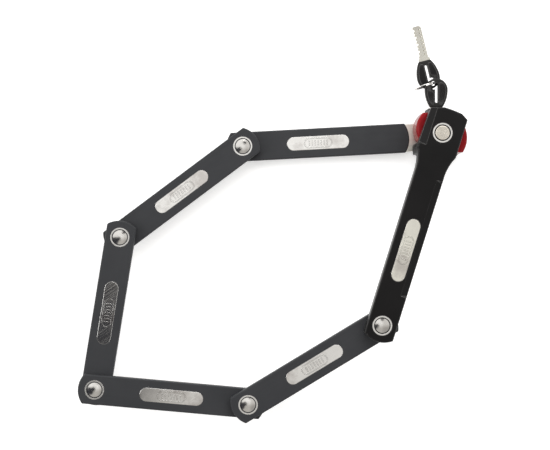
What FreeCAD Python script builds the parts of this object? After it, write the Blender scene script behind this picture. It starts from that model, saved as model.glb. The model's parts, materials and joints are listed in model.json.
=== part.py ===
import FreeCAD, Part
import math
import os

# Folding bike lock, lying flat and laid out as an open six-sided loop.
# Origin: on the head's axis, on the surface that the lock lies on. Millimetres, +Z up.
# The links form a staircase: the lock body is on top and link E, with the tongue, lies lowest.

os.makedirs("parts", exist_ok=True)

V = FreeCAD.Vector
UP = V(0, 0, 1)

# ---- driving dimensions -------------------------------------------------------------------
link_pitch = 133.0            # rivet to rivet on every link
body_pitch = 171.5            # head axis to the body's rivet
body_heading = 252.6          # degrees, head axis towards the body's rivet
link_headings = {"a": 211.1, "b": 174.8, "c": 80.9, "d": 36.8}
link_names = ["a", "b", "c", "d", "e"]

bar_thick = 5.5               # hardened steel bar in every link and in the body
coat = 0.8                    # soft sleeve over the bar
link_half_width = 12.8
link_end_radius = 20.5        # curve of a sleeve's end
end_back = 6.1                # centre of that curve, behind the rivet
corner_radius = 1.2
edge_radius = 1.1
level_pitch = 7.6
lowest_link_z = 3.3
link_thick = bar_thick + 2 * coat

rivet_shank_r = 4.5
rivet_head_r = 6.2
rivet_rim = 0.3
rivet_dome = 0.6
running_gap = 0.06
ferrule_inner_r = 7.05
ferrule_outer_r = 8.3
pocket_r = 8.35
proud = 0.05
washer_r = 7.4

inset_length = 55.0
inset_width = 12.0
inset_proud = 0.1
frame_length = 25.0           # raised outline in the middle of each inset plate
frame_width = 8.8
frame_line = 0.8
frame_height = 0.15
rib_count = 7                 # raised ribs inside the outline
rib_pitch = 2.6
rib_width = 0.9
rib_length = 4.4

tongue_reach = 9.0            # tongue tip past the head axis
tongue_half_width = 12.0
sleeve_e_length = 147.2
sleeve_e_nose_r = 24.0
bolt_hole_r = 3.4

body_bottom_z = 41.3
body_split_z = 45.8
body_top_z = 52.8
body_bar_z = 43.1
body_half_width = 12.7
head_half_left = 16.9
head_narrowing = 1.5          # the left edge leans in by this much at the top end
head_half_right = 17.2
head_top_u = 20.4             # top end of the head along the body, from the head axis
head_crown = 0.9              # rise of the curved top end
head_corner = (16.8, 11.0)    # bevelled corner: its start along the body and its end across it
key_face_y = 21.7
link_sweep_r = 149.9          # keeps the head clear of the folded links
taper_radius = 42.0
taper_start = 36.0            # before the head axis
body_edge = 1.1
body_wall = 1.1               # moulding outside the body's bar
body_corner = 0.8
bar_eye_r = 14.0              # round end of the body's bar, at the head axis
cap_r = 6.1
cap_stem_r = 3.0
cap_stem_depth = 3.0
body_inset_at = 0.39          # part of the way from the rivet to the head axis
head_bevel = (-13.8, 10.4, 18.0, 4.2)     # start along the body, inner and outer edge, drop
bar_bevel = (-143.0, -40.0, -7.3, -12.7, 1.2)
bevel_run_out = 3.0

jaw_x = 3.0                   # centre of the jaw's plate, post and skirt
jaw_y = -2.0
jaw_plate_r = 22.5
jaw_plate_top = 2.6
jaw_liner_top = 3.5
jaw_pocket_z = 1.5            # floor of the bolt's pocket in the plate
jaw_roof_z = 10.2
skirt_r = 24.8
skirt_z = 11.0
skirt_top_y = -11.5
neck_z = 18.0
post_gap = 1.2
post_half_height = 16.5
cheek_left = (-2.0, 5.2, 18.2)            # centre and radius of each red cheek's outline
cheek_right = (0.5, -3.0, 23.4)
left_window = (-7.6, 18.5)
right_window = (-15.7, 6.2)
cheek_top_z = 38.0
cheek_rim = 3.4
cheek_floor_edge = 0.8
core_left_x = -10.4           # the core's wall behind the left cheek

key_x = -2.4
key_z = 31.0
plug_r = 6.2
plug_bore_r = 5.0
plug_front_y = 20.7
plug_rear_y = -5.8
plug_wall = 2.5
housing_r = 7.2
collar_width = 0.5
cam_thick = 2.0
cam_disc_r = 7.0
cam_pin_r = 1.4
bolt_travel = 8.0
bolt_y = -2.0
bolt_r = 3.0
bolt_rest_z = 10.5
slot_gap = 0.4
guide_gap = 0.2
disc_count = 11
disc_pitch = 2.15
disc_thick = 1.9

blade_width = 8.0
blade_thick = 2.4
keyway_gap = 0.2
key_hole_y = 44.5             # ring hole of the inserted key
ring_side = 2.3               # from the ring hole across to the key's centre line
key_hole_to_root = 21.2
key_hole_to_tip = 51.9
blade_cuts = (0.9, 1.9, 1.3, 2.3, 1.5, 2.1, 1.1, 1.8)      # depths, from the bow towards the tip
blade_cut_pitch = 3.1
dimple_y = -2.0
bow_radius = 9.9
bow_end = 4.1
bow_root_half = 5.2
bow_corner = 1.9
bow_thick = 4.5
bow_gap = 0.45
bow_eye_width = 3.9           # opening for the ring
bow_eye_length = 7.6
bow_slot_width = 2.5          # narrow slot that runs on from the opening
bow_slot_end = 17.2
tang_length = 8.0
spare_heading = 104.0

ring_mean_r = 9.05
ring_radial = 1.2
ring_axial = 1.8
ring_heading = 197.0
ring_offset = 0.65            # the curved wire is centred in the depth of the two bows

screw_r = 2.0
screw_head_r = 3.7
screw_head_h = 2.2


# ---- helpers ------------------------------------------------------------------------------
def polar(origin, heading, distance):
    angle = math.radians(heading)
    return V(origin.x + distance * math.cos(angle), origin.y + distance * math.sin(angle), 0)


def line(a, b):
    return Part.LineSegment(V(*a), V(*b)).toShape()


def arc(a, middle, b):
    return Part.Arc(V(*a), V(*middle), V(*b)).toShape()


def flat(edges):
    return Part.Face(Part.Wire(edges))


def prism(face, low, high):
    moved = face.copy()
    moved.translate(V(0, 0, low))
    return moved.extrude(V(0, 0, high - low))


def cylinder(x, y, low, high, radius):
    return Part.makeCylinder(radius, high - low, V(x, y, low))


def ring(x, y, low, high, inner, outer):
    return cylinder(x, y, low, high, outer).cut(cylinder(x, y, low - 1, high + 1, inner))


def block(x, y, z):
    return Part.makeBox(x[1] - x[0], y[1] - y[0], z[1] - z[0], V(x[0], y[0], z[0]))


def along_y(x, z, low, high, radius):
    return Part.makeCylinder(radius, high - low, V(x, low, z), V(0, 1, 0))


def placed(shape, origin, heading, height=0.0):
    turned = shape.copy()
    move = FreeCAD.Placement(V(origin.x, origin.y, height), FreeCAD.Rotation(UP, heading))
    turned.Placement = move.multiply(turned.Placement)
    return turned


def stadium(middle, length, width, low, high):
    r = width / 2
    x0 = middle - length / 2 + r
    x1 = middle + length / 2 - r
    outline = [line((x0, r, 0), (x1, r, 0)), arc((x1, r, 0), (x1 + r, 0, 0), (x1, -r, 0)),
               line((x1, -r, 0), (x0, -r, 0)), arc((x0, -r, 0), (x0 - r, 0, 0), (x0, r, 0))]
    return prism(flat(outline), low, high)


def end_run(half_width, end_r):
    """How far a bar's end corners and its tip reach past the pivot."""
    return math.sqrt(end_r ** 2 - half_width ** 2) - end_back, end_r - end_back


def strip(length, half_width, end_r):
    """Bar outline from pivot (0, 0) to pivot (length, 0), with curved ends past the pivots."""
    run, tip = end_run(half_width, end_r)
    w = half_width
    return flat([line((-run, w, 0), (length + run, w, 0)),
                 arc((length + run, w, 0), (length + tip, 0, 0), (length + run, -w, 0)),
                 line((length + run, -w, 0), (-run, -w, 0)),
                 arc((-run, -w, 0), (-tip, 0, 0), (-run, w, 0))])


def upright_edges(shape):
    found = []
    for edge in shape.Edges:
        box = edge.BoundBox
        if box.XLength < 0.01 and box.YLength < 0.01 and box.ZLength > 1:
            found.append(edge)
    return found


def level_edges(shape, heights):
    found = []
    for edge in shape.Edges:
        box = edge.BoundBox
        if box.ZLength < 0.01 and any(abs(box.ZMin - z) < 0.01 for z in heights):
            found.append(edge)
    return found


def softened(shape, corner, edge, heights):
    rounded = shape.makeFillet(corner, upright_edges(shape))
    return rounded.makeFillet(edge, level_edges(rounded, heights))


def save(node, shape):
    solids = shape.Solids
    result = solids[0] if len(solids) == 1 else Part.makeCompound(solids)
    if not result.isValid():
        raise ValueError(node + " is not valid")
    result.exportStep("parts/" + node + ".step")
    print(node, len(solids), round(result.Volume / 1000, 2), "cm3")


# ---- layout -------------------------------------------------------------------------------
head = V(0, 0, 0)
pivots = {"body": polar(head, body_heading, body_pitch)}
near = {}
far = {}
start = pivots["body"]
for name in link_names[:4]:
    near[name] = start
    start = polar(start, link_headings[name], link_pitch)
    far[name] = start
near["e"] = start
heading_e = math.degrees(math.atan2(head.y - start.y, head.x - start.x))
reach_e = math.hypot(head.x - start.x, head.y - start.y)
link_headings["e"] = heading_e
tip_e = reach_e + tongue_reach
base_z = {}
for step, name in enumerate(reversed(link_names)):
    base_z[name] = lowest_link_z + level_pitch * step
print("pivots", [(n, round(near[n].x, 2), round(near[n].y, 2)) for n in link_names])
print("link e heading, reach", round(heading_e, 3), round(reach_e, 3))


# ---- rivets, ferrules, washers ------------------------------------------------------------
def dome(z, side):
    """Shallow spherical cap on a rivet head's rim; side is +1 upwards and -1 downwards."""
    ball_r = (rivet_head_r ** 2 + rivet_dome ** 2) / (2 * rivet_dome)
    ball = Part.makeSphere(ball_r, V(0, 0, z + side * (rivet_dome - ball_r)))
    keep = cylinder(0, 0, min(z, z + side * 2), max(z, z + side * 2), rivet_head_r)
    return ball.common(keep)


def domed_rivet(low, high):
    """Rivet with a domed head at each end; low and high are the seats of the two heads."""
    rivet = cylinder(0, 0, low, high, rivet_shank_r)
    rivet = rivet.fuse(cylinder(0, 0, high, high + rivet_rim, rivet_head_r))
    rivet = rivet.fuse(cylinder(0, 0, low - rivet_rim, low, rivet_head_r))
    return rivet.fuse([dome(high + rivet_rim, 1), dome(low - rivet_rim, -1)]).removeSplitter()


def make_pivot(number, pivot, upper_seat, upper_bar_z, lower):
    lower_bar = base_z[lower] + coat
    rivet = domed_rivet(lower_bar - 0.05, upper_seat)
    save("pivot_rivet_%d" % number, placed(rivet, pivot, 0))
    washer = ring(0, 0, lower_bar + bar_thick + 0.05, upper_bar_z, rivet_shank_r, washer_r)
    save("pivot_washer_%d" % number, placed(washer, pivot, 0))


def top_ferrule(x, top):
    return ring(x, 0, top - coat, top + proud, ferrule_inner_r, ferrule_outer_r)


def bottom_ferrule(x, bottom):
    return ring(x, 0, bottom - proud, bottom + coat, ferrule_inner_r, ferrule_outer_r)


# ---- inset plates -------------------------------------------------------------------------
def inset_plate(middle, seat, surface):
    top = surface + inset_proud
    plate = stadium(middle, inset_length - 0.1, inset_width - 0.1, seat, top)
    plate = plate.makeFillet(0.25, level_edges(plate, [top]))
    outer = stadium(middle, frame_length, frame_width, top - 0.1, top + frame_height)
    inner = stadium(middle, frame_length - 2 * frame_line, frame_width - 2 * frame_line,
                    top - 0.2, top + 1)
    raised = [outer.cut(inner)]
    for index in range(rib_count):
        x = middle + (index - (rib_count - 1) / 2) * rib_pitch
        raised.append(block((x - rib_width / 2, x + rib_width / 2), (-rib_length / 2, rib_length / 2),
                            (top - 0.1, top + frame_height)))
    return plate.fuse(raised).removeSplitter()


# ---- links --------------------------------------------------------------------------------
def tongue_outline():
    """Steel bar of link E: round end at its rivet, tongue tip concentric with the rivet."""
    w = tongue_half_width
    run, tip = end_run(w, link_end_radius - coat)
    tip_run = math.sqrt(tip_e ** 2 - w ** 2)
    return flat([line((-run, w, 0), (tip_run, w, 0)),
                 arc((tip_run, w, 0), (tip_e, 0, 0), (tip_run, -w, 0)),
                 line((tip_run, -w, 0), (-run, -w, 0)),
                 arc((-run, -w, 0), (-tip, 0, 0), (-run, w, 0))])


def sleeve_e_outline():
    w = link_half_width
    run, tip = end_run(w, link_end_radius)
    shoulder = sleeve_e_length - sleeve_e_nose_r + math.sqrt(sleeve_e_nose_r ** 2 - w ** 2)
    return flat([line((-run, w, 0), (shoulder, w, 0)),
                 arc((shoulder, w, 0), (sleeve_e_length, 0, 0), (shoulder, -w, 0)),
                 line((shoulder, -w, 0), (-run, -w, 0)),
                 arc((-run, -w, 0), (-tip, 0, 0), (-run, w, 0))])


def bolt_hole_in_e():
    """The locking bolt's hole in the tongue, in link E's own frame."""
    angle = math.radians(-heading_e)
    dx = key_x - near["e"].x
    dy = bolt_y - near["e"].y
    return (dx * math.cos(angle) - dy * math.sin(angle), dx * math.sin(angle) + dy * math.cos(angle))


def make_link(name):
    has_far = name != "e"
    bottom = base_z[name]
    top = bottom + link_thick
    bar_low = bottom + coat
    bar_high = bar_low + bar_thick
    if has_far:
        bar_face = strip(link_pitch, link_half_width - coat, link_end_radius - coat)
        sleeve_face = strip(link_pitch, link_half_width, link_end_radius)
    else:
        bar_face = tongue_outline()
        sleeve_face = sleeve_e_outline()
    bar = prism(bar_face, bar_low, bar_high)
    core = bar.copy()
    bar = bar.cut(cylinder(0, 0, bar_low - 1, bar_high + 1, rivet_shank_r + running_gap))
    if has_far:
        bar = bar.cut(cylinder(link_pitch, 0, bar_low - 1, bar_high + 1, rivet_shank_r))
    else:
        hole_x, hole_y = bolt_hole_in_e()
        tip = [e for e in bar.Edges if e.BoundBox.XMin > tip_e - 1 and e.BoundBox.ZLength < 0.01]
        bar = bar.makeChamfer(0.8, tip)
        bar = bar.cut(cylinder(hole_x, hole_y, bar_low - 1, bar_high + 1, bolt_hole_r))

    sleeve = softened(prism(sleeve_face, bottom, top), corner_radius, edge_radius, [bottom, top])
    sleeve = sleeve.cut(core)
    sleeve = sleeve.cut(cylinder(0, 0, bottom - 1, top + 1, pocket_r))
    if has_far:
        sleeve = sleeve.cut(cylinder(link_pitch, 0, bottom - 1, top + 1, pocket_r))
    middle = link_pitch / 2
    sleeve = sleeve.cut(stadium(middle, inset_length, inset_width, bar_high - 0.5, top + 1))

    ferrules = bottom_ferrule(0, bottom)
    if has_far:
        ferrules = Part.makeCompound([ferrules, top_ferrule(link_pitch, top)])
    origin = near[name]
    heading = link_headings[name]
    save("link_%s_bar" % name, placed(bar, origin, heading))
    save("link_%s_sleeve" % name, placed(sleeve, origin, heading))
    save("link_%s_inset" % name, placed(inset_plate(middle, bar_high, top), origin, heading))
    save("link_%s_ferrules" % name, placed(ferrules, origin, heading))


# ---- lock body ----------------------------------------------------------------------------
# The body's own frame has its rivet at (0, 0) and the head axis at (body_pitch, 0); +Y is left.
def body_outline():
    w = body_half_width
    run, tip = end_run(w, link_end_radius)
    end = body_pitch + head_top_u

    def taper(side, rise):
        """Concave flank from the bar's width out to the head's width."""
        angle = math.acos(1 - rise / taper_radius)
        x0 = body_pitch - taper_start
        middle = (x0 + taper_radius * math.sin(angle / 2),
                  side * (w + taper_radius * (1 - math.cos(angle / 2))), 0)
        last = (x0 + taper_radius * math.sin(angle), side * (w + rise), 0)
        return (x0, side * w, 0), middle, last

    r0, r1, r2 = taper(-1, head_half_right - w)
    l0, l1, l2 = taper(1, head_half_left - w)
    right_top = (body_pitch + head_corner[0], -head_half_right, 0)
    crown_right = (end, -head_corner[1], 0)
    left_top = (end, head_half_left - head_narrowing, 0)
    crown_middle = (end + head_crown, (left_top[1] - head_corner[1]) / 2, 0)
    return flat([arc((-run, w, 0), (-tip, 0, 0), (-run, -w, 0)),
                 line((-run, -w, 0), r0), arc(r0, r1, r2), line(r2, right_top),
                 line(right_top, crown_right), arc(crown_right, crown_middle, left_top),
                 line(left_top, l2), arc(l2, l1, l0), line(l0, (-run, w, 0))])


def to_world(shape):
    return placed(shape, pivots["body"], body_heading - 180)


def body_blank(low, high):
    """Body outline between two heights, in the row's frame, trimmed at the key face."""
    solid = to_world(prism(body_outline(), low, high))
    return solid.cut(block((-60, 60), (key_face_y, 60), (low - 1, high + 1)))


def polygon(points):
    return flat([line(a, b) for a, b in zip(points, points[1:] + points[:1])])


def bevel_tool(x_low, x_high, y_start, y_edge, drop):
    """Cuts a long bevel into the body's top, from y_start down to y_edge, run out at its ends."""
    top = body_top_z
    deep = top - drop * 2
    beyond = 2 * y_edge - y_start
    clear = top + 2
    across = polygon([(0, y_start, top), (0, beyond, deep), (0, beyond, clear), (0, y_start, clear)])
    across = across.extrude(V(body_pitch * 2, 0, 0))
    run = bevel_run_out
    along = polygon([(x_low, -60, clear), (x_low, -60, top), (x_low + run, -60, deep),
                     (x_high - run, -60, deep), (x_high, -60, top), (x_high, -60, clear)])
    return across.common(along.extrude(V(0, 120, 0)))


def make_body():
    p = pivots["body"]
    face = strip(body_pitch, body_half_width - body_wall, link_end_radius - body_wall)
    bar = prism(face, 0, bar_thick)
    bar = bar.fuse(cylinder(body_pitch, 0, 0, bar_thick, bar_eye_r)).removeSplitter()
    bar = placed(bar, p, body_heading - 180, body_bar_z)
    bar_top = body_bar_z + bar_thick
    core = bar.copy()
    bar = bar.cut(cylinder(p.x, p.y, 0, 60, rivet_shank_r))
    bar = bar.cut(cylinder(0, 0, bar_top - cap_stem_depth, 60, cap_stem_r))
    for x, y in core_screw_spots:
        bar = bar.cut(cylinder(x, y, 0, 60, screw_r + 0.05))
        bar = bar.cut(cylinder(x, y, bar_top - screw_head_h, 60, screw_head_r + 0.05))
    save("body_bar", bar)

    top = body_blank(body_split_z, body_top_z)
    top = top.makeFillet(body_corner, [e for e in upright_edges(top) if e.Length > 3])
    top = top.makeFillet(body_edge, level_edges(top, [body_top_z]))
    start, inner, outer, drop = head_bevel
    beyond_top = body_pitch + head_top_u + 20
    top = top.cut(to_world(bevel_tool(body_pitch + start, beyond_top, inner, outer, drop)))
    start, stop, inner, outer, drop = bar_bevel
    top = top.cut(to_world(bevel_tool(body_pitch + start, body_pitch + stop, inner, outer, drop)))
    top = top.cut(core)
    for spot, shaft in ((p, rivet_shank_r), (head, cap_stem_r)):
        top = top.cut(cylinder(spot.x, spot.y, body_top_z - 1, 60, pocket_r))
        top = top.cut(cylinder(spot.x, spot.y, body_split_z - 1, 60, shaft + 0.1))
    middle = body_pitch * body_inset_at
    recess = stadium(middle, inset_length, inset_width, body_top_z - coat, body_top_z + 1)
    top = top.cut(to_world(recess))
    save("body_cover_top", top)

    bottom = body_blank(body_bottom_z, body_split_z).cut(core)
    bottom = bottom.cut(cylinder(p.x, p.y, 30, 60, pocket_r))
    for x, y in core_screw_spots:
        bottom = bottom.cut(cylinder(x, y, 30, 60, screw_r + 0.05))
    save("body_cover_bottom", bottom)

    plate = inset_plate(middle, body_top_z - coat, body_top_z)
    save("body_inset", to_world(plate))
    rivet_ring = ring(p.x, p.y, body_top_z - 1, body_top_z + proud, ferrule_inner_r, ferrule_outer_r)
    save("body_ferrule", rivet_ring)
    cap_ring = ring(0, 0, body_top_z - 1, body_top_z + proud, ferrule_inner_r, ferrule_outer_r)
    save("head_cap_ring", cap_ring)
    cap = cylinder(0, 0, body_top_z - 1, body_top_z + 0.1, cap_r)
    cap = cap.makeFillet(0.5, level_edges(cap, [body_top_z + 0.1]))
    stem = cylinder(0, 0, bar_top - cap_stem_depth, body_top_z - 0.9, cap_stem_r)
    save("head_cap", cap.fuse(stem).removeSplitter())
    make_pivot(1, p, body_top_z - 1, body_bar_z, "a")


# ---- head ---------------------------------------------------------------------------------
core_screw_spots = [(8.8, 4.0), (8.2, -5.5), (-4.0, -17.0)]
jaw_screw_spots = [(17.0, 8.0), (13.0, -8.6)]
pin_height = bolt_travel / 2                      # cam pin above the key axis, unlocked
cam_r = pin_height * math.sqrt(2)                 # a quarter turn carries it the full travel
yoke_y = (plug_rear_y - cam_thick - 5.3, plug_rear_y - cam_thick - 0.5)
yoke_x = (key_x - 3.2, key_x + 9.2)
yoke_top = key_z + pin_height + cam_pin_r + slot_gap + 2.0
arm_z = (bolt_rest_z + 7.6, bolt_rest_z + 11.0)
arm_x = (key_x - bolt_r, key_x + bolt_r)


def head_trim(shape):
    """Cuts the head back at its top end, at the key face and at the folded links' sweep."""
    trimmed = shape.cut(block((-60, 60), (key_face_y, 80), (-1, 60)))
    p = pivots["body"]
    return trimmed.cut(cylinder(p.x, p.y, -1, 60, link_sweep_r))


def window_region(low, high):
    left = block((-60, 0), left_window, (low, high))
    right = block((0, 60), right_window, (low, high))
    return left.fuse(right)


def bolt_way():
    """Room in the head for the locking bolt over its whole travel."""
    g = guide_gap
    yoke = block((yoke_x[0] - g, yoke_x[1] + g), (yoke_y[0] - g, plug_rear_y - cam_thick),
                 (jaw_roof_z - 1, yoke_top + 0.5))
    arm = block((arm_x[0] - g, arm_x[1] + g), (yoke_y[0] - g, bolt_y + bolt_r + g),
                (jaw_roof_z - 1, arm_z[1] + 0.5))
    return yoke.fuse(arm)


def cheek_blank(outline, x, y):
    """One red cheek before the core is taken out of it: a rounded drum, cut to its window."""
    centre_x, centre_y, radius = outline
    drum = cylinder(centre_x, centre_y, jaw_roof_z, cheek_top_z, radius)
    drum = drum.makeFillet(cheek_rim, level_edges(drum, [cheek_top_z]))
    drum = drum.makeFillet(cheek_floor_edge, level_edges(drum, [jaw_roof_z]))
    return drum.common(block(x, y, (0, 60)))


def make_core():
    """Black core: the neck under the lock body, and the skirt round the jaw."""
    neck = head_trim(to_world(prism(body_outline(), neck_z, body_bottom_z)))
    neck = neck.cut(block((-60, core_left_x), (left_window[0], 60), (neck_z - 1, body_bottom_z)))
    boss = block((core_left_x, key_x + housing_r + 2), (4, key_face_y), (neck_z, body_bottom_z))
    skirt = head_trim(cylinder(jaw_x, jaw_y, skirt_z, neck_z, skirt_r))
    below = block((-60, 0), (-60, skirt_top_y), (0, 60))
    inside = to_world(prism(body_outline(), 0, 60))
    skirt = skirt.common(below.fuse(inside)).cut(window_region(0, 60))
    return neck.fuse(boss).fuse(skirt).removeSplitter()


def make_head():
    core = make_core()
    left = cheek_blank(cheek_left, (-60, 0), left_window)
    right = cheek_blank(cheek_right, (0, 60), right_window)
    cheek = left.fuse(right).cut(core)
    core = core.cut(along_y(key_x, key_z, plug_rear_y, 60, housing_r + 0.05))
    core = core.cut(along_y(key_x, key_z, plug_front_y, 60, housing_r + collar_width + 0.05))
    core = core.cut(along_y(key_x, key_z, plug_rear_y - cam_thick - 0.2, 0, cam_disc_r + 0.5))
    core = core.cut(bolt_way())
    cheek = cheek.cut(bolt_way())
    for x, y in core_screw_spots:
        core = core.cut(cylinder(x, y, 22, 60, screw_r + 0.05))
    for x, y in jaw_screw_spots:
        core = core.cut(cylinder(x, y, 0, 30.05, screw_r + 0.05))
        cheek = cheek.cut(cylinder(x, y, 0, 30.05, screw_r + 0.05))
    save("head_core", core)
    save("cheek_disc", cheek)

    plate = head_trim(cylinder(jaw_x, jaw_y, 0, jaw_plate_top, jaw_plate_r))
    plate = plate.makeChamfer(0.6, level_edges(plate, [0]))
    plate = plate.cut(cylinder(key_x, bolt_y, jaw_pocket_z, 20, bolt_hole_r))
    liner = head_trim(cylinder(jaw_x, jaw_y, jaw_plate_top, jaw_liner_top, jaw_plate_r - 2))
    liner = liner.cut(cylinder(key_x, bolt_y, 0, 20, bolt_hole_r))
    keeper = cylinder(jaw_x, jaw_y, jaw_plate_top, jaw_roof_z, jaw_plate_r - 1)
    keeper = keeper.common(block((0, 60), (-post_half_height, post_half_height), (0, 60)))
    pivot = near["e"]
    post = keeper.cut(cylinder(pivot.x, pivot.y, 0, 60, tip_e + post_gap))
    liner = liner.cut(post)
    for x, y in jaw_screw_spots:
        bore = cylinder(x, y, -1, 60, screw_r + 0.05)
        plate = plate.cut(bore).cut(cylinder(x, y, -1, screw_head_h, screw_head_r + 0.05))
        post = post.cut(bore)
    save("jaw_plate", plate)
    save("jaw_liner", liner)
    save("jaw_post", post)
    save("jaw_screws", screws(jaw_screw_spots, 0, 30, head_down=True))
    save("core_screws", screws(core_screw_spots, 22.5, body_bar_z + bar_thick, head_down=False))


def screws(spots, low, high, head_down):
    made = []
    for x, y in spots:
        seat = low if head_down else high - screw_head_h
        screw = cylinder(x, y, seat, seat + screw_head_h, screw_head_r)
        screw = screw.fuse(cylinder(x, y, low, high, screw_r)).removeSplitter()
        face = low if head_down else high
        socket = Part.makeCylinder(1.5, 1.4, V(x, y, face), UP if head_down else V(0, 0, -1))
        made.append(screw.cut(socket))
    return Part.makeCompound(made)


# ---- lock cylinder ------------------------------------------------------------------------
def keyway(low, high):
    w = blade_width / 2 + keyway_gap
    t = blade_thick / 2 + keyway_gap
    return block((key_x - w, key_x + w), (low, high), (key_z - t, key_z + t))


def make_cylinder():
    housing = along_y(key_x, key_z, plug_rear_y, plug_front_y, housing_r)
    housing = housing.cut(along_y(key_x, key_z, plug_rear_y - 1, 60, plug_r + running_gap))
    save("cylinder_housing", housing)
    collar_r = housing_r + collar_width
    collar = along_y(key_x, key_z, plug_front_y, key_face_y + 0.3, collar_r)
    collar = collar.cut(along_y(key_x, key_z, 0, 60, plug_r + 0.4))
    rim = 2 * collar_r - 0.1
    outer = [e for e in collar.Edges if e.BoundBox.YMin > key_face_y and e.BoundBox.XLength > rim]
    save("keyhole_collar", collar.makeFillet(0.4, outer))

    sidebar_y = (plug_rear_y + 2, plug_front_y - 5)
    plug = along_y(key_x, key_z, plug_rear_y, plug_front_y, plug_r)
    plug = plug.cut(along_y(key_x, key_z, plug_rear_y, plug_front_y - plug_wall, plug_bore_r))
    plug = plug.cut(keyway(0, 60))
    groove = block((key_x - 0.8, key_x + 0.8), sidebar_y, (key_z + 4, key_z + plug_r + 1))
    save("plug", plug.cut(groove))
    bar = block((key_x - 0.7, key_x + 0.7), (sidebar_y[0] + 0.1, sidebar_y[1] - 0.1),
                (key_z + plug_bore_r + 0.05, key_z + plug_r - 0.15))
    save("sidebar", bar)
    discs = []
    for index in range(disc_count):
        low = plug_rear_y + 0.1 + index * disc_pitch
        disc = along_y(key_x, key_z, low, low + disc_thick, plug_bore_r - 0.08)
        discs.append(disc.cut(keyway(low - 1, low + disc_thick + 1)))
    save("disc_stack", Part.makeCompound(discs))

    cam = along_y(key_x, key_z, plug_rear_y - cam_thick, plug_rear_y, cam_disc_r)
    pin = along_y(key_x + pin_height, key_z + pin_height, yoke_y[0] + 0.3, plug_rear_y - 0.5,
                  cam_pin_r)
    cam = cam.cut(keyway(plug_rear_y - cam_thick - 1, 0))
    save("cam", cam.fuse(pin).removeSplitter())

    yoke = block(yoke_x, yoke_y, (arm_z[0], yoke_top))
    half = cam_pin_r + slot_gap
    pin_z = key_z + pin_height
    slot = block((key_x + pin_height - half, key_x + cam_r + half), (-60, 60),
                 (pin_z - half, pin_z + half))
    yoke = yoke.cut(slot)
    arm = block(arm_x, (yoke_y[0], bolt_y), arm_z)
    pin = cylinder(key_x, bolt_y, bolt_rest_z, arm_z[1], bolt_r)
    pin = pin.makeChamfer(0.5, level_edges(pin, [bolt_rest_z]))
    save("locking_bolt", yoke.fuse(arm).fuse(pin).removeSplitter())


# ---- keys and ring ------------------------------------------------------------------------
# A key's own frame has the ring hole at (0, 0, 0) and the blade along +X. The hole is off the
# centre line, so the key is drawn about its centre line and then moved across by ring_side.
def bow_opening(extra, half):
    """The ring's eye and the narrow slot that runs on from it, each widened by extra."""
    eye_low = -bow_eye_width / 2
    eye = stadium(eye_low + bow_eye_length / 2, bow_eye_length + 2 * extra,
                  bow_eye_width + 2 * extra, -half, half)
    eye.translate(V(0, -ring_side, 0))
    slot = stadium(bow_slot_end / 2, bow_slot_end + 2 * extra, bow_slot_width + 2 * extra,
                   -half, half)
    return eye.fuse(slot)


def key_pair():
    root = key_hole_to_root
    centre = bow_radius - bow_end
    half = bow_thick / 2
    fall = bow_radius - bow_root_half
    flank_r = ((root - centre) ** 2 + fall ** 2) / (2 * fall)      # meets the bow's end smoothly
    side_x = (root + centre) / 2
    side_y = bow_radius - flank_r + math.sqrt(flank_r ** 2 - (side_x - centre) ** 2)
    outline = [line((root, -bow_root_half, 0), (root, bow_root_half, 0)),
               arc((root, bow_root_half, 0), (side_x, side_y, 0), (centre, bow_radius, 0)),
               arc((centre, bow_radius, 0), (-bow_end, 0, 0), (centre, -bow_radius, 0)),
               arc((centre, -bow_radius, 0), (side_x, -side_y, 0), (root, -bow_root_half, 0))]
    bow = prism(flat(outline), -half, half)
    corners = [e for e in upright_edges(bow) if e.BoundBox.XMin > root - 1]
    bow = bow.makeFillet(bow_corner, corners)
    bow = bow.makeFillet(1.3, level_edges(bow, [-half, half]))
    bow = bow.cut(bow_opening(0, half + 1))

    t = blade_thick / 2
    w = blade_width / 2
    tip = key_hole_to_tip
    tang = root - tang_length
    skin = bow_opening(0.8, half)
    blade = block((tang, tip), (-w, w), (-t, t))
    ends = [e for e in upright_edges(blade) if e.BoundBox.XMin > tip - 0.1]
    blade = blade.makeFillet(2.6, ends).cut(skin)
    for index, depth in enumerate(blade_cuts):
        x = root + 5.5 + index * blade_cut_pitch
        notch = polygon([(x - 0.5, w - depth, -t), (x + 0.5, w - depth, -t),
                         (x + 1.7, w + 0.1, -t), (x - 1.7, w + 0.1, -t)])
        blade = blade.cut(prism(notch, 0, 2 * t))
        dimple = Part.makeCone(0.3, 0.9, 0.5, V(x, dimple_y, t - 0.5))
        blade = blade.cut(dimple)
    groove = block((root + 3, tip - 2), (dimple_y - 0.3, dimple_y + 0.3), (t - 0.3, t + 1))
    blade = blade.cut(groove)
    shoulder = block((root, root + 2.2), (-w - 1, w + 1), (-t - 0.5, t + 0.5))
    blade = blade.fuse(shoulder).removeSplitter()
    room = block((tang - 0.05, root + 1), (-w - 0.05, w + 0.05), (-t - 0.05, t + 0.05))
    bow = bow.cut(room.cut(skin))
    across = V(0, ring_side, 0)
    return blade.translated(across), bow.translated(across)


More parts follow.
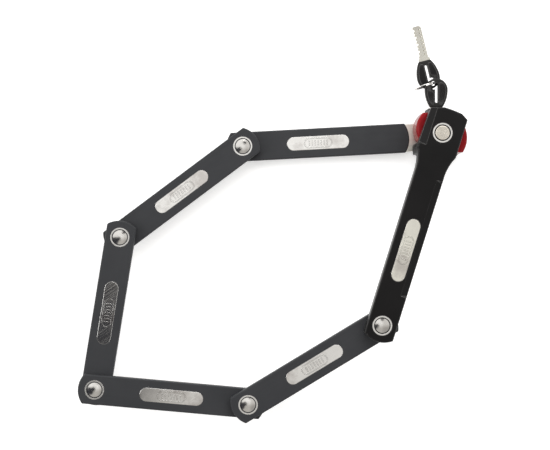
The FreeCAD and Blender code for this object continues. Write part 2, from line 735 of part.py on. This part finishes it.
def make_keys():
    blade, bow = key_pair()
    hole = V(key_x - ring_side, key_hole_y, 0)
    spare_z = key_z - bow_thick - bow_gap
    save("key_blade", placed(blade, hole, -90, key_z))
    save("key_bow", placed(bow, hole, -90, key_z))
    save("spare_key_blade", placed(blade, hole, spare_heading, spare_z))
    save("spare_key_bow", placed(bow, hole, spare_heading, spare_z))

    r = ring_mean_r
    a = ring_axial / 2
    t = ring_radial / 2
    groove = 0.15
    section = flat([line((r - t, -a, 0), (r + t, -a, 0)), line((r + t, -a, 0), (r + t, -groove, 0)),
                    line((r + t, -groove, 0), (r + t - groove, 0, 0)),
                    line((r + t - groove, 0, 0), (r + t, groove, 0)),
                    line((r + t, groove, 0), (r + t, a, 0)), line((r + t, a, 0), (r - t, a, 0)),
                    line((r - t, a, 0), (r - t, -a, 0))])
    hoop = section.revolve(V(0, 0, 0), V(0, 1, 0), 360)
    hoop.translate(V(r - ring_offset, 0, 0))
    middle_z = (key_z + spare_z) / 2
    save("key_ring", placed(hoop, hole, ring_heading, middle_z))
    print("ring middle z", middle_z, "spare z", spare_z)


# ---- build --------------------------------------------------------------------------------
for link in link_names:
    make_link(link)
make_body()
for index, (upper, lower) in enumerate(zip(link_names[:4], link_names[1:])):
    seat = base_z[upper] + coat + bar_thick
    make_pivot(index + 2, far[upper], seat, base_z[upper] + coat, lower)
make_head()
make_cylinder()
make_keys()
print("cam radius", round(cam_r, 3), "bolt ratio m/rad", round(bolt_travel / 1000 / (math.pi / 2), 7))
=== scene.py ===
import json
import math

import bpy
from mathutils import Matrix, Vector


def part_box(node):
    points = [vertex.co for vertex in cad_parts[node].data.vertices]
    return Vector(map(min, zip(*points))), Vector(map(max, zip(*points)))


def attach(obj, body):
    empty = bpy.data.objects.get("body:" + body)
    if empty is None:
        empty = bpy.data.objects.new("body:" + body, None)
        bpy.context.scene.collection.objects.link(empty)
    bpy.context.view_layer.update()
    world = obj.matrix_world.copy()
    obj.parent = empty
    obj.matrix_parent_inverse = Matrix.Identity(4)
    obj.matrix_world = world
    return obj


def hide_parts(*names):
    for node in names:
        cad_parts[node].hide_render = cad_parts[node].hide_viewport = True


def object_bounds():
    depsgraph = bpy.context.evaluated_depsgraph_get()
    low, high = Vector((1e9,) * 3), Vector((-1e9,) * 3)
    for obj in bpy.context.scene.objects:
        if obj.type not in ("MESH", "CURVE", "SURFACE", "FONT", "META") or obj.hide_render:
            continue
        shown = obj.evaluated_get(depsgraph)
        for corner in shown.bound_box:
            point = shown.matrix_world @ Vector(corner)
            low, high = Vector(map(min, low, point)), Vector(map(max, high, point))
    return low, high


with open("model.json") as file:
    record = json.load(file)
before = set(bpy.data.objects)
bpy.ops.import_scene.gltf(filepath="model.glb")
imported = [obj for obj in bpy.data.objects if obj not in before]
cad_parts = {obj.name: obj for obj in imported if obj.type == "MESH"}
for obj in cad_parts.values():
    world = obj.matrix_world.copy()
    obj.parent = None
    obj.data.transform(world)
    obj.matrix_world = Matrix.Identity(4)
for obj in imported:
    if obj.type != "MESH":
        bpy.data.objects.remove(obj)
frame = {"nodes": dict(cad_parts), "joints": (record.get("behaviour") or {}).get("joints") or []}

# Lengths are in metres unless a name or comment says mm, texture scales are in cycles per
# metre, and colours are linear.
nodes = frame["nodes"]
cad_low, cad_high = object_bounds()
scene = bpy.context.scene
MM = 0.001


# ---- node-tree helpers --------------------------------------------------------------------
class Tree:
    """Short names for building one node tree."""

    def __init__(self, tree):
        self.tree = tree
        self.coordinates = self.add("ShaderNodeTexCoord")

    def add(self, kind, **settings):
        node = self.tree.nodes.new(kind)
        for key, value in settings.items():
            setattr(node, key, value)
        return node

    def feed(self, socket, value):
        """Link another node's output to a socket, or set a constant on it."""
        if hasattr(value, "is_linked"):
            self.tree.links.new(value, socket)
        else:
            socket.default_value = value

    def math(self, operation, a, b=0.0):
        node = self.add("ShaderNodeMath", operation=operation)
        self.feed(node.inputs[0], a)
        self.feed(node.inputs[1], b)
        return node.outputs[0]

    def plus(self, a, b, share):
        """a, and a share of b."""
        return self.math("ADD", a, self.math("MULTIPLY", b, share))

    def ramp(self, fac, stops):
        node = self.add("ShaderNodeValToRGB")
        elements = node.color_ramp.elements
        while len(elements) < len(stops):
            elements.new(0.5)
        for element, (position, colour) in zip(elements, stops):
            element.position = position
            element.color = (*colour, 1)
        self.feed(node.inputs["Fac"], fac)
        return node.outputs["Color"]

    def span(self, fac, low, high, out_low, out_high, curve="LINEAR"):
        node = self.add("ShaderNodeMapRange", interpolation_type=curve)
        for socket, value in zip(node.inputs[1:5], (low, high, out_low, out_high)):
            socket.default_value = value
        self.feed(node.inputs["Value"], fac)
        return node.outputs["Result"]


class Finish(Tree):
    """One material, textured in the object's own space."""

    def __init__(self, name):
        self.material = bpy.data.materials.new(name)
        self.material.use_nodes = True
        super().__init__(self.material.node_tree)
        self.shader = self.tree.nodes["Principled BSDF"]
        self.place = self.coordinates.outputs["Object"]

    def vector(self, operation, a, b=None):
        node = self.add("ShaderNodeVectorMath", operation=operation)
        self.feed(node.inputs[0], a)
        if b is not None:
            self.feed(node.inputs[1], b)
        return node.outputs["Value" if operation in ("LENGTH", "DOT_PRODUCT") else "Vector"]

    def noise(self, scale, detail, roughness, vector=None):
        node = self.add("ShaderNodeTexNoise")
        node.inputs["Scale"].default_value = scale
        node.inputs["Detail"].default_value = detail
        node.inputs["Roughness"].default_value = roughness
        self.feed(node.inputs["Vector"], vector or self.place)
        return node.outputs["Fac"]

    def stretch(self, direction, factor):
        """Texture space drawn out along a direction, for brush marks."""
        turned = self.add("ShaderNodeMapping")
        turned.inputs["Rotation"].default_value = (0, 0, -direction)
        self.feed(turned.inputs["Vector"], self.place)
        drawn = self.add("ShaderNodeMapping")
        drawn.inputs["Scale"].default_value = (1 / factor, 1, 1)
        self.feed(drawn.inputs["Vector"], turned.outputs["Vector"])
        return drawn.outputs["Vector"]

    def bump(self, height, distance, strength, under=None):
        node = self.add("ShaderNodeBump")
        node.inputs["Distance"].default_value = distance
        node.inputs["Strength"].default_value = strength
        self.feed(node.inputs["Height"], height)
        if under is not None:
            self.feed(node.inputs["Normal"], under)
        return node.outputs["Normal"]

    def rounded(self, radius):
        """Normals as they would be if every edge had this radius."""
        node = self.add("ShaderNodeBevel", samples=6)
        node.inputs["Radius"].default_value = radius
        return node.outputs["Normal"]

    def edges(self, radius=0.6 * MM, low=0.01, high=0.12):
        """Near 1 within a radius of an edge and 0 on open surfaces."""
        true_normal = self.add("ShaderNodeNewGeometry").outputs["True Normal"]
        along = self.vector("DOT_PRODUCT", self.rounded(radius), true_normal)
        return self.span(self.math("SUBTRACT", 1.0, along), low, high, 0.0, 1.0)

    def mix(self, fac, a, colour):
        node = self.add("ShaderNodeMix", data_type="RGBA")
        self.feed(node.inputs["Factor"], fac)
        self.feed(node.inputs["A"], a)
        self.feed(node.inputs["B"], (*colour, 1))
        return node.outputs["Result"]

    def finish(self, colour, roughness, normal, **constants):
        for name, value in (("Base Color", colour), ("Roughness", roughness), ("Normal", normal)):
            self.feed(self.shader.inputs[name], value)
        for key, value in constants.items():
            self.shader.inputs[key.replace("_", " ")].default_value = value
        return self.material


def darker(tint, share):
    return tuple(channel * share for channel in tint)


# ---- materials ----------------------------------------------------------------------------
def soft_coating(name, direction):
    """Dark grey soft-touch rubber with a fine grain and faint handling marks."""
    t = Finish(name)
    broad = t.noise(28, 4, 0.6)
    grain = t.noise(2600, 2, 0.6)
    rubbed = t.noise(300, 3, 0.55, t.stretch(direction, 6))
    base = t.ramp(broad, [(0.3, (0.0215, 0.0228, 0.0262)), (0.7, (0.0290, 0.0300, 0.0335))])
    # Paler near the edges: edge wear together with a painted edge highlight.
    colour = t.mix(t.math("MULTIPLY", t.edges(), 0.30), base, (0.10, 0.103, 0.11))
    roughness = t.plus(t.span(rubbed, 0.3, 0.7, 0.48, 0.60), grain, 0.06)
    normal = t.bump(broad, 0.2 * MM, 0.12, t.bump(grain, 0.03 * MM, 0.5))
    return t.finish(colour, roughness, normal, Specular_IOR_Level=0.36)


def black_moulding(name, gloss):
    """Satin black plastic with a spark-eroded grain, painted a little paler at its edges as an
    edge highlight.
    """
    t = Finish(name)
    broad = t.noise(22, 3, 0.55)
    grain = t.noise(3400, 2, 0.7)
    base = t.ramp(broad, [(0.3, (0.0052, 0.0049, 0.0051)), (0.7, (0.0080, 0.0074, 0.0076))])
    # Paler near the edges: a painted edge highlight.
    edge_highlight = t.edges(0.7 * MM, 0.002, 0.03)
    colour = t.mix(t.math("MULTIPLY", edge_highlight, 0.75), base, (0.13, 0.127, 0.127))
    roughness = t.plus(t.span(broad, 0.3, 0.7, gloss - 0.05, gloss + 0.05), grain, 0.06)
    return t.finish(colour, roughness, t.bump(grain, 0.02 * MM, 0.4), Specular_IOR_Level=0.15)


def red_moulding(name):
    """Gloss red plastic with slight flow marks."""
    t = Finish(name)
    flow = t.noise(60, 3, 0.5)
    fine = t.noise(1500, 2, 0.5)
    colour = t.ramp(flow, [(0.3, (0.20, 0.008, 0.011)), (0.7, (0.27, 0.010, 0.013))])
    roughness = t.span(fine, 0.3, 0.7, 0.16, 0.26)
    return t.finish(colour, roughness, t.bump(flow, 0.1 * MM, 0.15), Specular_IOR_Level=0.08)


def bright_chrome(name, tint=(0.90, 0.885, 0.86), rough=(0.045, 0.14), raised=False):
    """Polished plating with a faint ripple and fine scratches.

    A plate with raised marks has rounded edges and handling smudges, and the edges of its marks
    are painted darker as a painted reflection of darker surroundings."""
    t = Finish(name)
    ripple = t.noise(90, 2, 0.5)
    scratch = t.noise(1800, 2, 0.4, t.stretch(0.6, 40))
    colour = t.ramp(ripple, [(0.3, darker(tint, 0.93)), (0.7, tint)])
    rounded = None
    if raised:
        rounded = t.rounded(0.18 * MM)
        smudge = t.span(t.noise(42, 4, 0.62), 0.47, 0.66, 0.0, 0.62)
        colour = t.mix(smudge, colour, (0.46, 0.42, 0.40))
        # Darker at the edges of the marks: a painted reflection, not dulling.
        painted_dark_edges = t.math("MULTIPLY", t.edges(0.6 * MM, 0.01, 0.11), 0.8)
        colour = t.mix(painted_dark_edges, colour, (0.06, 0.058, 0.055))
    normal = t.bump(ripple, 0.04 * MM, 0.25, rounded)
    return t.finish(colour, t.span(scratch, 0.45, 0.75, *rough), normal, Metallic=1.0)


def brushed_metal(name, tint, direction, rough=(0.24, 0.40)):
    """Flat steel with straight grinding marks along a direction."""
    t = Finish(name)
    lines = t.noise(2400, 3, 0.6, t.stretch(direction, 60))
    cloud = t.noise(40, 3, 0.5)
    mixed = t.plus(t.math("MULTIPLY", lines, 0.6), cloud, 0.4)
    colour = t.ramp(mixed, [(0.35, darker(tint, 0.8)), (0.65, tint)])
    roughness = t.span(lines, 0.3, 0.7, *rough)
    return t.finish(colour, roughness, t.bump(lines, 0.02 * MM, 0.35), Metallic=1.0)


def turned_metal(name, tint, centre, rough=(0.14, 0.26), axis="Z"):
    """Lathe-turned face: rings round a centre line, which spread the highlight into a star."""
    t = Finish(name)
    flatten, spin = {"Z": ((1, 1, 0), (0, 0, 1)), "Y": ((1, 0, 1), (0, 1, 0))}[axis]
    across = t.vector("MULTIPLY", t.vector("SUBTRACT", t.place, tuple(centre)), flatten)
    rings = t.add("ShaderNodeTexNoise", noise_dimensions="1D")
    rings.inputs["Scale"].default_value = 5200
    rings.inputs["Detail"].default_value = 2
    t.feed(rings.inputs["W"], t.vector("LENGTH", across))
    ring = rings.outputs["Fac"]
    tangent = t.vector("NORMALIZE", t.vector("CROSS_PRODUCT", across, spin))
    t.feed(t.shader.inputs["Tangent"], tangent)
    mixed = t.plus(t.math("MULTIPLY", ring, 0.65), t.noise(180, 2, 0.5), 0.35)
    colour = t.ramp(mixed, [(0.35, darker(tint, 0.78)), (0.65, tint)])
    roughness = t.span(ring, 0.3, 0.7, *rough)
    normal = t.bump(ring, 0.02 * MM, 0.5)
    return t.finish(colour, roughness, normal, Metallic=1.0, Anisotropic=0.75)


def machined_brass(name):
    """Cylinder brass, slightly clouded."""
    t = Finish(name)
    cloud = t.noise(120, 3, 0.5)
    colour = t.ramp(cloud, [(0.3, (0.62, 0.44, 0.18)), (0.7, (0.76, 0.57, 0.27))])
    roughness = t.span(cloud, 0.3, 0.7, 0.2, 0.34)
    return t.finish(colour, roughness, t.bump(cloud, 0.02 * MM, 0.3), Metallic=1.0)


def key_grip(name):
    """Fine-textured black plastic of the key heads."""
    t = Finish(name)
    cells = t.add("ShaderNodeTexVoronoi")
    cells.inputs["Scale"].default_value = 1500
    t.feed(cells.inputs["Vector"], t.place)
    broad = t.noise(70, 3, 0.5)
    base = t.ramp(broad, [(0.3, (0.0075, 0.0072, 0.0068)), (0.7, (0.0125, 0.012, 0.0112))])
    # Paler near the edges: edge wear together with a painted edge highlight.
    colour = t.mix(t.math("MULTIPLY", t.edges(), 0.3), base, (0.05, 0.049, 0.046))
    normal = t.bump(cells.outputs["Distance"], 0.03 * MM, 0.4)
    return t.finish(colour, t.span(broad, 0.3, 0.7, 0.42, 0.52), normal, Specular_IOR_Level=0.28)


def stage_paper(name):
    """White paper that glows a little, so that it stays pale between the lights."""
    t = Finish(name)
    fibre = t.noise(900, 3, 0.5)
    colour = t.ramp(fibre, [(0.2, (0.90, 0.90, 0.90)), (0.8, (0.93, 0.93, 0.93))])
    return t.finish(colour, 0.9, t.bump(fibre, 0.1 * MM, 0.08), Specular_IOR_Level=0.1,
                    Emission_Color=(1, 1, 1, 1), Emission_Strength=0.4)


# ---- CAD nodes get their finish -----------------------------------------------------------
def dress(material, *names):
    for name in names:
        mesh = nodes[name].data
        mesh.materials.clear()
        mesh.materials.append(material)


def middle(node):
    low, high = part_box(node)
    return (Vector(low) + Vector(high)) / 2


def heading_between(start, end):
    return math.atan2(end.y - start.y, end.x - start.x)


pivots = [middle("pivot_rivet_%d" % n) for n in range(1, 6)]
head_axis = middle("head_cap")
key_axis = middle("plug")

chrome = bright_chrome("mirror_chrome")
plate_chrome = bright_chrome("inset_chrome", raised=True)
ring_chrome = bright_chrome("ring_chrome", rough=(0.22, 0.32))
STEEL = (0.62, 0.62, 0.61)
link_ends = pivots + [head_axis]
for link, start, end in zip("abcde", link_ends, link_ends[1:]):
    heading = heading_between(start, end)
    if link == "e":             # its bar ends in the bare tongue
        bar = brushed_metal("tongue_steel", (0.88, 0.85, 0.78), heading, (0.34, 0.46))
    else:
        # These bars show only in the narrow gap round each rivet; they are painted near black as
        # painted shade in that gap.
        bar = brushed_metal("painted_shade_bar_" + link, (0.045, 0.045, 0.05), heading, (0.42, 0.56))
    dress(bar, "link_%s_bar" % link)
    dress(soft_coating("soft_sleeve_" + link, heading), "link_%s_sleeve" % link)
    dress(plate_chrome, "link_%s_inset" % link)
    dress(ring_chrome, "link_%s_ferrules" % link)
for number, pivot in enumerate(pivots, start=1):
    rivet = turned_metal("rivet_%d" % number, (0.88, 0.86, 0.83), pivot, (0.06, 0.12))
    dress(rivet, "pivot_rivet_%d" % number)
    dress(turned_metal("washer_%d" % number, STEEL, pivot), "pivot_washer_%d" % number)

dress(black_moulding("body_shell", 0.36), "body_cover_top", "body_cover_bottom")
dress(brushed_metal("body_steel", STEEL, heading_between(head_axis, pivots[0])), "body_bar")
dress(bright_chrome("body_inset_chrome", (0.86, 0.84, 0.76), raised=True), "body_inset")
dress(ring_chrome, "body_ferrule", "head_cap_ring")
dress(turned_metal("cap_steel", (0.80, 0.75, 0.66), head_axis, (0.2, 0.32)), "head_cap")
dress(black_moulding("head_casting", 0.42), "head_core", "jaw_plate")
dress(red_moulding("red_plastic"), "cheek_disc", "jaw_liner")
dress(brushed_metal("post_steel", STEEL, math.pi / 2), "jaw_post")
dress(brushed_metal("screw_steel", (0.30, 0.30, 0.31), 0.0, (0.35, 0.5)),
      "jaw_screws", "core_screws", "sidebar", "cam", "locking_bolt")
dress(machined_brass("brass"), "cylinder_housing", "disc_stack")
dress(turned_metal("plug_steel", (0.7, 0.68, 0.64), key_axis, (0.2, 0.3), "Y"), "plug")
dress(turned_metal("collar_steel", (0.7, 0.69, 0.67), key_axis, (0.15, 0.25), "Y"),
      "keyhole_collar")
dress(bright_chrome("key_steel", (0.80, 0.78, 0.71), (0.045, 0.26)),
      "key_blade", "spare_key_blade")
dress(key_grip("key_plastic"), "key_bow", "spare_key_bow")
dress(chrome, "key_ring")


# ---- pieces built here --------------------------------------------------------------------
def mesh_object(name, points, faces, material, body):
    mesh = bpy.data.meshes.new(name)
    mesh.from_pydata(points, [], faces)
    mesh.validate()
    for polygon in mesh.polygons:
        polygon.use_smooth = True
    mesh.materials.append(material)
    piece = bpy.data.objects.new(name, mesh)
    scene.collection.objects.link(piece)
    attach(piece, body)
    return piece


def closed_tube(rings):
    """Points and faces that join rings of equal length, with a flat cap on each end."""
    count = len(rings[0])
    points = [point for ring in rings for point in ring]
    faces = []
    for low in range(0, len(points) - count, count):
        for k in range(count):
            n = (k + 1) % count
            faces.append((low + k, low + n, low + count + n, low + count + k))
    faces.append(tuple(reversed(range(count))))
    faces.append(tuple(range(len(points) - count, len(points))))
    return points, faces


def make_split_ring():
    """Key ring wound from flat wire: two turns that change sides once, with both ends free."""
    wire_deep, wire_wide = 1.15 * MM, 0.84 * MM
    squareness = 0.45                         # 1 would make the wire round, 0 square
    turn_gap = 0.05 * MM
    inside_cad = 0.03 * MM
    first_turn, last_turn = 0.56, 2.24        # where the two wire ends lie, in turns
    crossing, crossing_length = 1.26, 0.28    # where the wire changes sides, in turns
    steps, wire_sides = 260, 16
    low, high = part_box("key_ring")
    centre = (low + high) / 2
    radius = (high.z - low.z) / 2 - wire_deep / 2 - inside_cad
    heading = math.radians(197)
    outward = Vector((math.cos(heading), math.sin(heading), 0))
    across = Vector((-outward.y, outward.x, 0))
    rings = []
    for step in range(steps + 1):
        turn = first_turn + (last_turn - first_turn) * step / steps
        angle = turn * 2 * math.pi
        shift = min(max((turn - crossing) / crossing_length, 0), 1)
        side = (shift * shift * (3 - 2 * shift) - 0.5) * (wire_wide + turn_gap)
        spoke = outward * -math.cos(angle) + Vector((0, 0, 1)) * math.sin(angle)
        ring = []
        for k in range(wire_sides):
            bend = 2 * math.pi * k / wire_sides
            c, d = math.cos(bend), math.sin(bend)
            deep = math.copysign(abs(c) ** squareness, c) * wire_deep / 2
            wide = math.copysign(abs(d) ** squareness, d) * wire_wide / 2
            ring.append(centre + spoke * (radius + deep) + across * (side + wide))
        rings.append(ring)
    points, faces = closed_tube(rings)
    piece = mesh_object("split_ring", points, faces, chrome, "key_ring")
    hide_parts("key_ring")


# A key's own frame, in mm: the ring hole at the origin and x along the blade. The ring hole's
# offset and the bow's sizes are those of the CAD keys.
ring_side = 2.3                 # from the ring hole across to the key's centre line
bow_radius, bow_centre = 9.9, 5.8
bow_root, bow_root_half = 21.2, 5.2
bow_rim = 1.75                  # bare edge left outside the pads
slot_half = 2.0                 # half width of the bow's slot and its bare edge
hole_half, hole_end, hole_slope = 5.1, 6.2, 1.4     # bare land beside the ring hole
pad_start, pad_stop, pad_root = -0.4, 18.6, 0.5     # a pad's ends, and how deep it is let in
pad_half_least = 0.15


def bow_half_width(x):
    """Half width of the bow at x: a round end, then one long flank down to the root."""
    if x < bow_centre:
        return math.sqrt(max(bow_radius ** 2 - (x - bow_centre) ** 2, 0))
    fall = bow_radius - bow_root_half
    flank = ((bow_root - bow_centre) ** 2 + fall ** 2) / (2 * fall)
    return bow_radius - flank + math.sqrt(flank ** 2 - (x - bow_centre) ** 2)


def grip_pad(side, face, height):
    """One pad beside the bow's slot, with lengthwise ridges, as a closed sheet in mm."""
    columns, rows = 44, 30
    taper = 3                   # columns at each end over which the pad narrows and thins
    waves = 1.5                 # ridge waves from the pad's middle to its border
    grids = []
    for lift in (True, False):
        grid = []
        for i in range(columns + 1):
            x = pad_start + (pad_stop - pad_start) * i / columns
            ends = min(1.0, min(i, columns - i) / taper)
            inner = slot_half
            if side < 0:
                inner = max(slot_half, min(hole_half, hole_half - (x - hole_end) * hole_slope))
            outer = bow_half_width(x) - bow_rim
            half = max((outer - inner) / 2, pad_half_least) * (0.55 + 0.45 * math.sqrt(ends))
            for j in range(rows + 1):
                v = 2 * j / rows - 1
                ridge = 0.5 + 0.5 * math.cos(2 * math.pi * waves * v)
                crown = (1 - v ** 8) * ends
                z = height * (0.15 + 0.85 * ridge) * crown if lift else -pad_root
                y = ring_side + side * ((inner + outer) / 2 + half * v)
                grid.append(Vector((x, y, face * z)))
        grids.append(grid)
    points = grids[0] + grids[1]
    width = rows + 1
    base = len(grids[0])
    faces = []
    for i in range(columns):
        for j in range(rows):
            a, b = i * width + j, (i + 1) * width + j
            faces.append((a, b, b + 1, a + 1))
            faces.append((base + a, base + a + 1, base + b + 1, base + b))
    border = [i * width for i in range(columns + 1)]
    border += [columns * width + j for j in range(1, width)]
    border += [i * width + rows for i in range(columns - 1, -1, -1)]
    border += list(range(rows - 1, 0, -1))
    for a, b in zip(border, border[1:] + border[:1]):
        faces.append((a, base + a, base + b, b))
    if side * face < 0:
        faces = [tuple(reversed(f)) for f in faces]
    return points, faces


def make_grip(name, bow, heading, body, heights):
    """Pads on both faces of a key's bow; heights are those of the top and bottom pads, in mm."""
    low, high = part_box(bow)
    turn = Matrix.Rotation(heading, 3, "Z")
    points, faces = [], []
    for face, level, height in ((1, high.z, heights[0]), (-1, low.z, heights[1])):
        for side in (-1, 1):
            pad_points, pad_faces = grip_pad(side, face, height)
            first = len(points)
            for point in pad_points:
                place = turn @ (point * MM)
                points.append((ring_hole.x + place.x, ring_hole.y + place.y, level + place.z))
            faces += [tuple(first + k for k in pad_face) for pad_face in pad_faces]
    piece = mesh_object(name, points, faces, pad_rubber, body)


joints = {joint["name"]: joint for joint in frame["joints"]}
ring_hole = Vector(joints["ring_swing"]["pos_m"])
pad_rubber = black_moulding("key_grip_pad", 0.5)
make_split_ring()
make_grip("key_grip_pads", "key_bow", math.radians(-90), "key", (0.2, 0.1))
make_grip("spare_key_grip_pads", "spare_key_bow", math.radians(104), "spare_key", (0.1, 0.2))


# ---- stage, light and camera --------------------------------------------------------------
look_height = 0.030
framing = Vector((-0.142, -0.0783))       # middle of the picture, from the head's axis
target = Vector((head_axis.x + framing.x, head_axis.y + framing.y, look_height))
camera_distance = 1.067
camera_lean = math.radians(0.8)
focal_length, sensor_width = 80.7, 36     # mm
floor_size, floor_gap = 8, 0.4 * MM
flag_depth = 0.06                         # brightness left in the middle of a flag
flags = [((-0.185, -0.09), (0.07, 0.15)), ((-0.42, -0.22), (0.19, 0.26)),
         ((0.10, 0.26), (0.06, 0.12))]    # each flag's lean, and where it is full and gone


def make_floor():
    bpy.ops.mesh.primitive_plane_add(size=floor_size,
                                     location=(target.x, target.y, cad_low[2] - floor_gap))
    floor = bpy.context.object
    floor.name = "stage_floor"
    floor.data.materials.append(stage_paper("stage_paper"))


def softbox(name, offset, size, power):
    """Rectangular area light that faces the object; offset from the target, power in watts."""
    data = bpy.data.lights.new(name, "AREA")
    data.shape = "RECTANGLE"
    data.size, data.size_y = size
    data.energy = power
    lamp = bpy.data.objects.new(name, data)
    lamp.location = target + Vector(offset)
    lamp.rotation_euler = Vector(offset).to_track_quat("Z", "Y").to_euler()
    scene.collection.objects.link(lamp)


def make_studio():
    """Soft room, bright towards the top of the picture, with dark flags near overhead.

    A direction's lean is how far it tips from straight up: its x and y over its z."""
    world = bpy.data.worlds.new("studio")
    world.use_nodes = True
    t = Tree(world.node_tree)
    axes = t.add("ShaderNodeSeparateXYZ")
    t.feed(axes.inputs[0], t.coordinates.outputs["Generated"])
    x, y, z = axes.outputs
    up = t.math("MAXIMUM", z, 0.2)
    lean_x = t.math("DIVIDE", x, up)
    lean_y = t.math("DIVIDE", y, up)
    level = t.span(z, -0.2, 0.75, 0.55, 0.98, "SMOOTHSTEP")
    factors = [t.span(lean_y, -0.26, 0.06, 0.52, 1.0, "SMOOTHSTEP"),
               t.span(lean_x, 0.05, 0.20, 1.0, 0.72, "SMOOTHSTEP")]
    for centre, radii in flags:
        dx = t.math("SUBTRACT", lean_x, centre[0])
        dy = t.math("SUBTRACT", lean_y, centre[1])
        square = t.math("ADD", t.math("MULTIPLY", dx, dx), t.math("MULTIPLY", dy, dy))
        factors.append(t.span(t.math("SQRT", square), *radii, flag_depth, 1.0, "SMOOTHSTEP"))
    for factor in factors:
        level = t.math("MULTIPLY", level, factor)
    tint = t.ramp(level, [(0.0, (0.002, 0.004, 0.012)), (0.5, (0.515, 0.50, 0.475)),
                          (1.0, (1.0, 0.995, 0.98))])
    t.feed(t.tree.nodes["Background"].inputs["Color"], tint)
    scene.world = world


def make_camera():
    """Camera nearly straight above, turned only by its lean."""
    data = bpy.data.cameras.new("camera")
    data.sensor_width = sensor_width
    data.lens = focal_length
    data.clip_end = 20
    camera = bpy.data.objects.new("camera", data)
    aim = Vector((-math.sin(camera_lean), 0, math.cos(camera_lean)))
    camera.location = target + aim * camera_distance
    camera.rotation_euler = (0, -camera_lean, 0)
    scene.collection.objects.link(camera)
    scene.camera = camera


make_floor()
make_studio()
softbox("key_light", (0.35, 1.10, 1.05), (1.6, 1.2), 15)
softbox("side_light", (-1.35, 0.15, 0.55), (0.8, 1.4), 10)
softbox("fill_light", (1.15, -0.75, 0.85), (1.2, 1.2), 6)
make_camera()
scene.view_settings.view_transform = "Standard"
